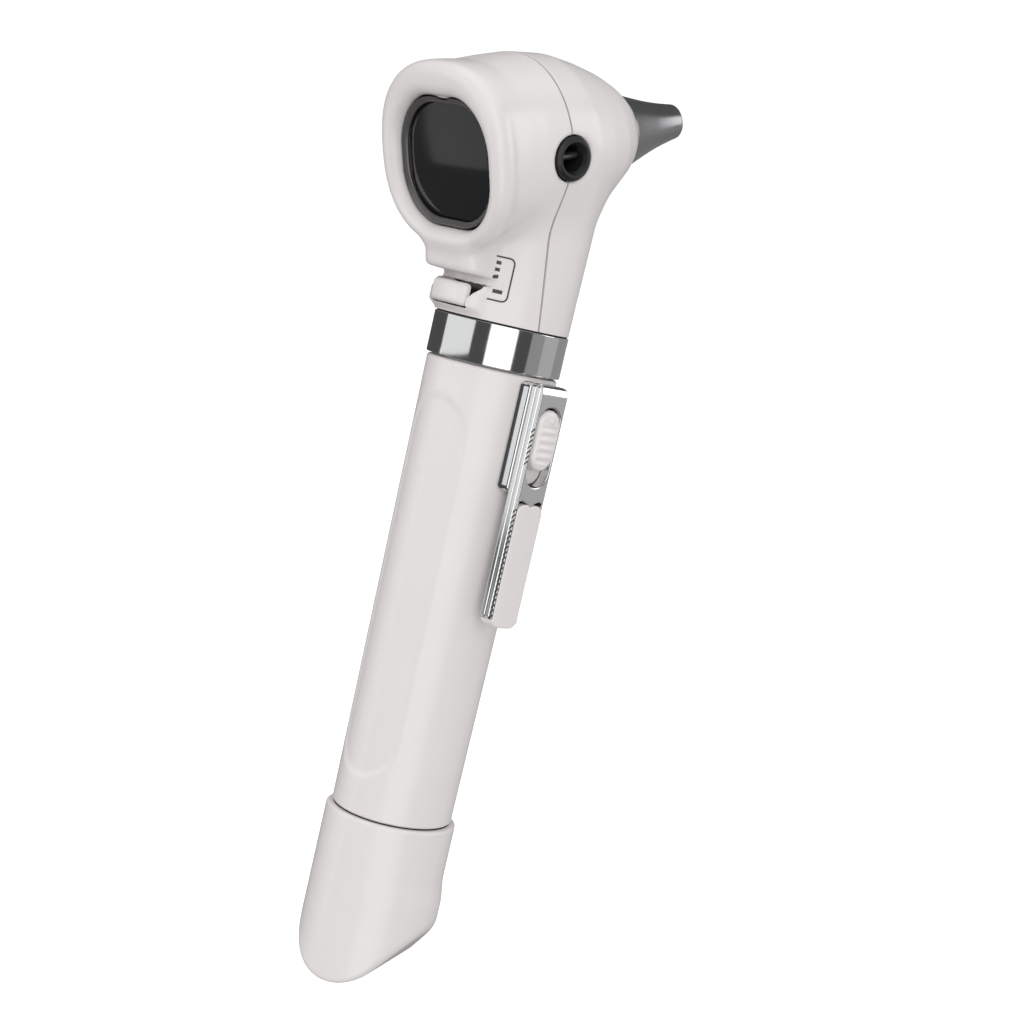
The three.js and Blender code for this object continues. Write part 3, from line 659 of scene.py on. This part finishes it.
def build_port():
    outer, inner_end, face = 3.15, 9.4, 13.5
    wall = [[PORT_BORE, inner_end], [2.6, inner_end], [outer, inner_end + 1.2]]
    wall += [[outer, face - 0.35], [outer - 0.45, face]]
    mouth = [[2.35, face], [PORT_BORE, face - 0.7]]
    mesh = lathe("port_socket", rounded(wall + mouth, 0.12), PORT, 96)
    finish_mesh("port_socket", mesh, "head", BLACK, ["insufflation_port"])
    out, raised, reach, thick = 11.3, 0.2, PORT_BORE - 0.15, 0.6
    across = SIGHT @ Matrix.Translation((out, PORT_ALONG, raised)) @ Matrix.Rotation(-math.pi / 2, 4, "X")
    mesh = lathe("port_bar", [[0, -reach], [thick, -reach], [thick, reach], [0, reach]], across, 32)
    finish_mesh("port_bar", mesh, "head", DARK_METAL)


def build_nose():
    foot = [[4.75, 11], [4.75, 13.65], [5.6, 13.65], [5.85, 13.8]]
    outside = [[5.83, 14], [5.32, 15.5], [4.84, 17], [4.38, 18.5], [3.94, 20], [3.56, 21.5], [3.22, 23]]
    outside += [[2.92, 24.5], [2.66, 26]]
    inside = [[2.15, 26], [2.35, 23.5], [2.95, 20], [3.7, 16], [4.15, 12.8], [4.2, 11]]
    profile = foot + smooth_profile(outside) + inside
    mesh = lathe("ear_speculum", rounded(profile, 0.12), ALONG_SIGHT, 96)
    finish_mesh("ear_speculum", mesh, "speculum", SPECULUM, ["speculum"])
    cone = [[6.2, 6.3], [6.2, 7.4], [3.75, 7.4], [3.7, 12.5], [3, 16], [2.4, 19.2], [1.3, 19.2], [1.5, 16]]
    cone.append([2.9, 6.3])
    mesh = lathe("nose_piece", rounded(cone, 0.25), ALONG_SIGHT, 72)
    finish_mesh("nose_piece", mesh, "head", DARK_METAL, ["nose_cone"])


# ---------- handle ----------
PANEL = {"top": -11.5, "bottom": -70.5, "half": 6.2, "depth": 0.2, "edge": 0.9}


def panel_dip(angle, radius, height):
    """How far the handle's skin sinks inside the two long grip panels."""
    if radius < SPIGOT_RADIUS + 0.5:
        return 0
    straight = (PANEL["top"] - PANEL["bottom"]) / 2 - PANEL["half"]
    middle = (PANEL["top"] + PANEL["bottom"]) / 2
    beyond = max(abs(height - middle) - straight, 0)
    turn = min(abs(math.remainder(angle - side, 2 * math.pi)) for side in (-math.pi / 2, math.pi / 2))
    inside = PANEL["half"] - math.hypot(turn * radius, beyond)
    t = min(max(inside / PANEL["edge"], 0), 1)
    return -PANEL["depth"] * t * t * (3 - 2 * t)


def build_handle():
    rows = 150
    top, bottom = HANDLE_TOP, CAP_SEAM
    skin_rows = []
    for i in range(rows + 1):
        t = i / rows
        radius = HANDLE_END_RADIUS + (HANDLE_TOP_RADIUS - HANDLE_END_RADIUS) * t
        skin_rows.append([radius, bottom + (top - bottom) * t])
    edge = 0.25
    skin_rows[0][1] += edge
    skin_rows[-1][1] -= edge
    foot = [[BORE_RADIUS, SPIGOT_END], [SPIGOT_RADIUS - 0.3, SPIGOT_END], [SPIGOT_RADIUS, SPIGOT_END + 0.3]]
    foot += [[SPIGOT_RADIUS, bottom], [HANDLE_END_RADIUS - edge, bottom]]
    neck = [[HANDLE_TOP_RADIUS - edge, top], [8.6, top], [8.6, -0.3], [BORE_RADIUS, -0.3]]
    mesh = lathe("grip_tube", foot + skin_rows + neck, TURNED, 220, panel_dip)
    finish_mesh("grip_tube", mesh, "handle", WHITE, ["handle_tube"])
    inner = 8.9
    ring = [[inner, COLLAR_BOTTOM], [COLLAR_RADIUS, COLLAR_BOTTOM], [COLLAR_RADIUS, 0], [inner, 0]]
    mesh = lathe("collar_band", rounded(ring, 0.14), TURNED, 160)
    finish_mesh("collar_band", mesh, "handle", CHROME, ["collar_ring"])
    lamp = [[1.9, -14.6], [7.2, -14.6], [7.2, -1.2], [6.7, -0.8], [6.7, 5.6], [3.4, 5.6], [3.4, 3.6]]
    lamp.append([1.9, 3.6])
    mesh = lathe("lamp_boss", rounded(lamp, 0.2), TURNED, 96)
    finish_mesh("lamp_boss", mesh, "handle", DARK_METAL, ["lamp_housing"])
    led = [[0, 3.9], [3, 3.9], [3, 4.7], [2.4, 5.5], [1.4, 6.15], [0, 6.4]]
    mesh = lathe("led_dome", led, TURNED, 64)
    finish_mesh("led_dome", mesh, "handle", CLEAR, ["led_emitter"])
    gasket = [[7.3, 0.03], [9.95, 0.03], [9.95, 0.22], [9, 0.22], [9, 0.85], [7.3, 0.85]]
    mesh = lathe("gasket_ring", rounded(gasket, 0.04), TURNED, 160)
    finish_mesh("gasket_ring", mesh, "handle", RUBBER, ["neck_gasket"])


# ---------- switch and clip: X out from the handle, Y across, in the handle's turned frame ----------
CLIP = {"half": 3.0, "top": -7.0, "end": -42.2, "under": 11.3, "face": 13.6}
TROUGH = {"half": 2.5, "floor": 11.9}  # what the white cover lies in
SLOT = {"top": -10.1, "end": -22.0, "half": 2.6}
GROOVE = {"out": 12.28, "radius": 0.2, "setback": 0.04}
BASE = {"end": -23.5, "floor": 9.0, "well_at": -15.5, "well_half": 4.1}
SLIDER = {"top": -10.45, "end": -19.5, "half": 2.25, "crown": 14.25, "floor": 12.2, "ridge_pitch": 1.25}
COVER = {"half": 2.47, "face": 14.0, "floor": 12.1, "lip_below": -42.25, "lip_floor": 11.35}


def wave(across):
    """The wavy edge between the bright face and the white cover: one dip in the middle of two low crests."""
    dip = 0.6 * np.exp(-((across / 0.8) ** 2))
    crests = 0.15 * np.exp(-(((np.abs(across) - 1.75) / 0.4) ** 2))
    return -24.3 - dip + crests


def frame_field(x, y, z):
    middle, half = (CLIP["top"] + CLIP["end"]) / 2, (CLIP["top"] - CLIP["end"]) / 2
    inset = 0.14 * smooth_step(x, 12.98, 13.1)
    shape = rounded_box(y, z - middle, CLIP["half"], half, 0.6) + inset
    shape = smooth_max(shape, x - CLIP["face"], 0.3)
    shape = smooth_max(shape, CLIP["under"] - x, 0.3)
    shape = smooth_max(shape, (x - CLIP["face"] + z - CLIP["top"]) * 0.7 + 0.25, 0.6)
    shape = smooth_max(shape, x - CLIP["face"] + 0.13 * np.maximum(z - CLIP["top"] + 2, 0) ** 2, 0.1)
    trough = np.maximum(np.abs(y) - TROUGH["half"], z - wave(y))
    shape = smooth_max(shape, -np.maximum(trough, TROUGH["floor"] - x), 0.15)
    slot_middle, slot_half = (SLOT["top"] + SLOT["end"]) / 2, (SLOT["top"] - SLOT["end"]) / 2
    slot = rounded_box(y, z - slot_middle, SLOT["half"] - 0.2, slot_half, SLOT["half"] - 0.25)
    shape = smooth_max(shape, -slot, 0.3)
    groove = np.hypot(np.abs(y) - CLIP["half"] - GROOVE["setback"], x - GROOVE["out"]) - GROOVE["radius"]
    return smooth_max(shape, -groove, 0.08)


def base_field(x, y, z):
    """The block under the slot, with flared feet, a saddle for the handle and a well for the contact."""
    top, end = CLIP["top"], BASE["end"]
    foot = 0.72 * (np.clip(CLIP["under"] - x, 0, 2.3) / 2.2) ** 2
    shape = rounded_box(y, z - (top + end) / 2, CLIP["half"] + foot, (top - end) / 2, 0.9)
    shape = smooth_max(shape, x - CLIP["under"] + 0.15, 0.5)
    shape = smooth_max(shape, BASE["floor"] - x, 0.1)
    saddle = np.hypot(x, y) - (HANDLE_TOP_RADIUS + 0.08)
    well = rounded_box(y, z - BASE["well_at"], 1.3, BASE["well_half"], 0.3)
    return smooth_max(smooth_max(shape, -saddle, 0.15), -well, 0.1)


def slider_field(x, y, z):
    """A long pad with a crown, ridges across its lower part and a dot above them."""
    top, end, half = SLIDER["top"], SLIDER["end"], SLIDER["half"]
    middle = (top + end) / 2
    side = rounded_box(y, z - middle, half, (top - end) / 2, half - 0.05)
    crown = SLIDER["crown"] - 0.05 * y * y - 0.012 * (z - middle) ** 2
    ridges = 0.11 * np.cos(2 * math.pi * (z - middle + 1.1) / SLIDER["ridge_pitch"])
    inside = smooth_step(side, -0.35, -0.75) * smooth_step(z, -18.7, -18.3)
    inside = inside * (1 - smooth_step(z, -13.0, -12.6))
    dot = 0.18 * (1 - smooth_step(np.hypot(y, z + 11.9), 0.35, 0.65))
    body = smooth_max(side, x - crown - ridges * inside - dot, 0.8)
    return smooth_max(body, SLIDER["floor"] - x, 0.2)


def cover_field(x, y, z):
    """A strip that fills the clip's trough, spreads a little over its edges and turns down round its end."""
    wide = 0.25 * smooth_step(x, 13.55, 13.7)
    half = COVER["half"] + wide + 0.5 * smooth_step(z, -42.05, -42.35)
    low_end = rounded_box(y, z + 34, 3.0, 9.35, 1.9)
    shape = smooth_max(np.abs(y) - half, low_end, 0.3)
    shape = smooth_max(shape, z - wave(y) + 0.03, 0.12)
    shape = smooth_max(shape, x - COVER["face"] + 0.015 * y * y, 0.25)
    under = np.where(z > COVER["lip_below"], COVER["floor"], COVER["lip_floor"])
    return smooth_max(shape, under - x, 0.2)


def edge_marks(name, heights, body):
    """Short dark bars that lean across the near edge of the clip's face, one at each height: real raised
    ridges whose dark colour is painted shade.
    """
    points, faces = [], []
    for z in heights:
        first = len(points)
        for y in (0.3 - CLIP["half"], 0.08 - CLIP["half"]):
            for x, lean in ((13.12, -0.4), (13.56, 0.1)):
                points += [(x, y, z + lean - 0.14), (x, y, z + lean + 0.14)]
        box = [(0, 1, 3, 2), (4, 6, 7, 5), (0, 4, 5, 1), (2, 3, 7, 6), (0, 2, 6, 4), (1, 5, 7, 3)]
        faces += [[first + v for v in face] for face in box]
    mesh = mesh_from(name, points, faces, TURNED)
    outward(mesh)
    # The bars' dark chrome is painted shade between the ridges.
    finish_mesh(name, mesh, body, PAINTED_SHADE_CHROME)


def build_clip():
    edge_marks("edge_marks_top", np.arange(-18.4, -13, 0.8), "handle")
    edge_marks("edge_marks_arm", np.arange(-41.6, -25.2, 0.8), "clip")
    mesh = skin("clip_frame", frame_field, (11.2, -3.1, -42.4), (13.7, 3.1, -6.9), 0.13, TURNED)
    piece = finish_mesh("clip_frame", mesh, None, CHROME, ["switch_bezel", "clip_arm"])
    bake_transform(piece)
    mesh = skin("clip_base", base_field, (8.9, -3.9, -23.6), (11.3, 3.9, -6.9), 0.16, TURNED)
    finish_mesh("clip_base", mesh, "handle", CHROME, ["switch_base"])
    mesh = skin("thumb_slider", slider_field, (12.1, -2.4, -19.7), (14.5, 2.4, -10.3), 0.12, TURNED)
    finish_mesh("thumb_slider", mesh, "switch", WHITE, ["switch_slider"])
    mesh = skin("cover_strip", cover_field, (11.3, -3.1, -43.5), (14.1, 3.1, -23.8), 0.13, TURNED)
    finish_mesh("cover_strip", mesh, "clip", WHITE, ["clip_cover"])


# ---------- cap and cell ----------
CAP = {"radius": 10.1, "top": -76.36, "nose": 8.8, "nose_z": -93.25, "lean": math.radians(53), "bulge": 0.5}
CAP_BORE = {"radius": 8.7, "end": -81.8}
CAP_WELL = {"radius": 7.4, "end": -84.7}  # what the spring stands in
CAP_TURN = math.radians(30)  # the side that the slanted end faces


def cap_field(x, y, z):
    """A round cup cut off at a slant: its long side ends in a round nose, and it swells slightly above the
    slanted flat."""
    lean, nose = CAP["lean"], CAP["nose"]
    front = x * math.cos(CAP_TURN) + y * math.sin(CAP_TURN)
    across = front - (nose - CAP["radius"])
    rise = z - CAP["nose_z"]
    out = across * math.sin(lean) - rise * math.cos(lean)
    along = across * math.cos(lean) + rise * math.sin(lean)
    rounded_end = np.where((out > 0) & (along >= 0), out, np.hypot(across, rise))
    wedge = np.where(
        (across >= 0) & (out <= 0),
        np.maximum(-across, out),
        np.where((across < 0) & (rise >= 0), -across, rounded_end),
    )
    column = np.hypot(x, y) - CAP["radius"]
    ease = CAP["bulge"] * (1 - smooth_step(z, -89, -84.5))
    lower = np.hypot(x - ease * math.cos(CAP_TURN), y - ease * math.sin(CAP_TURN)) - CAP["radius"]
    shape = smooth_max(np.minimum(column, lower), wedge - nose, 1.0)
    shape = smooth_max(shape, z - CAP["top"], 0.5)
    bore = np.maximum(np.hypot(x, y) - CAP_BORE["radius"], CAP_BORE["end"] - z)
    well = np.maximum(np.hypot(x, y) - CAP_WELL["radius"], CAP_WELL["end"] - z)
    return smooth_max(shape, -np.minimum(bore, well), 0.3)


def coil_mesh(name, low=-81.85, high=-73.3, turns=5, radius=4.4, wire=0.35):
    """A battery spring, with closed end turns."""
    steps, sides = turns * 40, 12
    points, faces = [], []
    for i in range(steps + 1):
        t = i / steps
        angle = 2 * math.pi * turns * t
        rise = low + (high - low) * smooth_step(t, 0.1, 0.9)
        for k in range(sides):
            turn = 2 * math.pi * k / sides
            r = radius + wire * math.cos(turn)
            points.append((r * math.cos(angle), r * math.sin(angle), rise + wire * math.sin(turn)))
    for i in range(steps):
        for k in range(sides):
            j = (k + 1) % sides
            faces.append([i * sides + k, i * sides + j, (i + 1) * sides + j, (i + 1) * sides + k])
    faces += [list(range(sides))[::-1], list(range(steps * sides, (steps + 1) * sides))]
    mesh = mesh_from(name, points, faces, UPRIGHT)
    outward(mesh)
    shade(mesh)
    return mesh


def build_cap():
    mesh = skin("slanted_cap", cap_field, (-10.8, -10.8, -102.5), (10.8, 10.8, -76.4), 0.3, UPRIGHT)
    finish_mesh("slanted_cap", mesh, "cap", WHITE, ["end_cap"])
    seal = [[8.7, -76.34], [9.1, -76.34], [9.1, -76.18], [8.7, -76.18]]
    mesh = lathe("seal_ring", rounded(seal, 0.1), UPRIGHT, 128)
    finish_mesh("seal_ring", mesh, "seal", RUBBER, ["cap_seal"])
    finish_mesh("coil_spring", coil_mesh("coil_spring"), "cap", STEEL, ["battery_spring"])
    low, high, radius = -72.6, -23.4, 7.25
    can = [[0, low], [radius, low], [radius, high], [3.3, high], [3.3, high + 0.15], [0, high + 0.15]]
    mesh = lathe("cell_can", rounded(can, 0.5), UPRIGHT, 96)
    finish_mesh("cell_can", mesh, "battery", CELL, ["battery_can"])
    button = [[0, high + 0.3], [2.7, high + 0.3], [2.7, high + 1.7], [0, high + 1.7]]
    mesh = lathe("cell_button", rounded(button, 0.3), UPRIGHT, 64)
    finish_mesh("cell_button", mesh, "battery", STEEL, ["battery_button"])


KEPT = {
    "slider_track": WHITE,
    "lamp_board": BOARD,
    "positive_contact": BRASS,
    "contact_strip": BRASS,
    "clip_rivet_1": STEEL,
    "clip_rivet_2": STEEL,
    "sliding_contact": BRASS,
    "neck_insert": DARK_METAL,
    "light_guide": CLEAR,
    "sight_tube": BLACK,
    "fibre_ring": CLEAR,
    "lens_retainer": BLACK,
    "spring_plate": STEEL,
}


def dress_kept_nodes():
    """The CAD nodes that stay as they are get a finish of their own."""
    for name, finish in KEPT.items():
        node = frame["nodes"][name]
        node.data.materials.clear()
        node.data.materials.append(finish)
        shade(node.data, 35)


# ---------- studio ----------
CAMERA_PLACE = Vector((0.22997, -0.19296, 0.0467))
CAMERA_RIGHT = Vector((0.62654, 0.74670, 0.22335))
CAMERA_DOWN = Vector((0.23088, 0.09589, -0.96824))
LENS_MM = 70.3125  # on a 36 mm sensor


def build_camera():
    data = bpy.data.cameras.new("camera")
    data.lens, data.sensor_width, data.clip_start = LENS_MM, 36, 0.01
    camera = bpy.data.objects.new("camera", data)
    bpy.context.scene.collection.objects.link(camera)
    back = CAMERA_DOWN.cross(CAMERA_RIGHT)
    camera.matrix_world = Matrix((
        (CAMERA_RIGHT.x, -CAMERA_DOWN.x, back.x, CAMERA_PLACE.x),
        (CAMERA_RIGHT.y, -CAMERA_DOWN.y, back.y, CAMERA_PLACE.y),
        (CAMERA_RIGHT.z, -CAMERA_DOWN.z, back.z, CAMERA_PLACE.z),
        (0, 0, 0, 1),
    ))
    bpy.context.scene.camera = camera


def soft_box(name, azimuth, elevation, spread, tall, radiance, kind="both", roll=0, distance=1.1):
    """A soft light seen from the object at an azimuth from +X, spreading over an angle, all in degrees. A
    card shows only in reflections, and a fill never does."""
    a, e = math.radians(azimuth), math.radians(elevation)
    data = bpy.data.lights.new(name, "AREA")
    data.shape = "RECTANGLE"
    data.size = 2 * distance * math.tan(math.radians(spread / 2))
    data.size_y = 2 * distance * math.tan(math.radians(tall / 2))
    data.energy = radiance * math.pi * data.size * data.size_y
    light = bpy.data.objects.new(name, data)
    bpy.context.scene.collection.objects.link(light)
    light.visible_diffuse = kind != "card"
    light.visible_glossy = kind != "fill"
    way = Vector((math.cos(a) * math.cos(e), math.sin(a) * math.cos(e), math.sin(e)))
    light.location = Vector((0, 0, 0.03)) + way * distance
    spin = Quaternion((0, 0, 1), math.radians(roll))
    light.rotation_euler = (way.to_track_quat("Z", "Y") @ spin).to_euler()


def build_studio():
    scene = bpy.context.scene
    scene.view_settings.view_transform = "Standard"
    world = bpy.data.worlds.new("studio")
    scene.world = world
    world.use_nodes = True
    nodes, links = world.node_tree.nodes, world.node_tree.links
    nodes.clear()
    path = nodes.new("ShaderNodeLightPath")
    sky, dark, seen = (nodes.new("ShaderNodeBackground") for _ in range(3))
    sky.inputs["Color"].default_value = (1, 0.99, 0.985, 1)
    sky.inputs["Strength"].default_value = 0.6
    dark.inputs["Color"].default_value = (0.075, 0.075, 0.077, 1)
    seen.inputs["Strength"].default_value = 1.05
    seen.inputs["Color"].default_value = (1, 1, 1, 1)
    by_gloss, by_sight = nodes.new("ShaderNodeMixShader"), nodes.new("ShaderNodeMixShader")
    links.new(path.outputs["Is Glossy Ray"], by_gloss.inputs["Fac"])
    links.new(sky.outputs["Background"], by_gloss.inputs[1])
    links.new(dark.outputs["Background"], by_gloss.inputs[2])
    links.new(path.outputs["Is Camera Ray"], by_sight.inputs["Fac"])
    links.new(by_gloss.outputs["Shader"], by_sight.inputs[1])
    links.new(seen.outputs["Background"], by_sight.inputs[2])
    output = nodes.new("ShaderNodeOutputWorld")
    links.new(by_sight.outputs["Shader"], output.inputs["Surface"])
    soft_box("key", -33, 0, 47, 80, 1.35)
    soft_box("left_fill", -114, 20, 60, 50, 0.86, "fill")
    soft_box("left_card", -114, 1, 60, 18, 0.78, "card")
    soft_box("right_fill", 75, 0, 118, 80, 0.22, distance=1.2)
    soft_box("top", -60, 78, 70, 70, 0.6)
    soft_box("lens_card", -130.7, -16.5, 34, 15, 0.34, "card", roll=-12)
    soft_box("nose_card", 54, 25, 24, 30, 1.9, "card")
    soft_box("face_card", 60, 0, 36, 26, 0.14, "card")
    build_floor()


def build_floor():
    """A plain pale floor, well under the object, which is held up."""
    work = bmesh.new()
    bmesh.ops.create_circle(work, cap_ends=True, radius=6, segments=96)
    bmesh.ops.translate(work, verts=work.verts, vec=(0, 0, cad_box[0].z - 0.06))
    mesh = bpy.data.meshes.new("floor")
    work.to_mesh(mesh)
    work.free()
    pale = material("pale_floor", (0.9, 0.9, 0.9), 0.7, shift=0.01, grain=0.05, grain_size=2)
    shader = pale.node_tree.nodes["Principled BSDF"]
    shader.inputs["Emission Color"].default_value = (1, 1, 1, 1)
    shader.inputs["Emission Strength"].default_value = 0.75
    mesh.materials.append(pale)
    floor = bpy.data.objects.new("floor", mesh)
    bpy.context.scene.collection.objects.link(floor)
    floor.visible_glossy = False
    floor.visible_diffuse = False


build_camera()
build_head()
build_tongue()
build_label()
build_window()
build_port()
build_nose()
build_handle()
build_clip()
build_cap()
dress_kept_nodes()
build_studio()
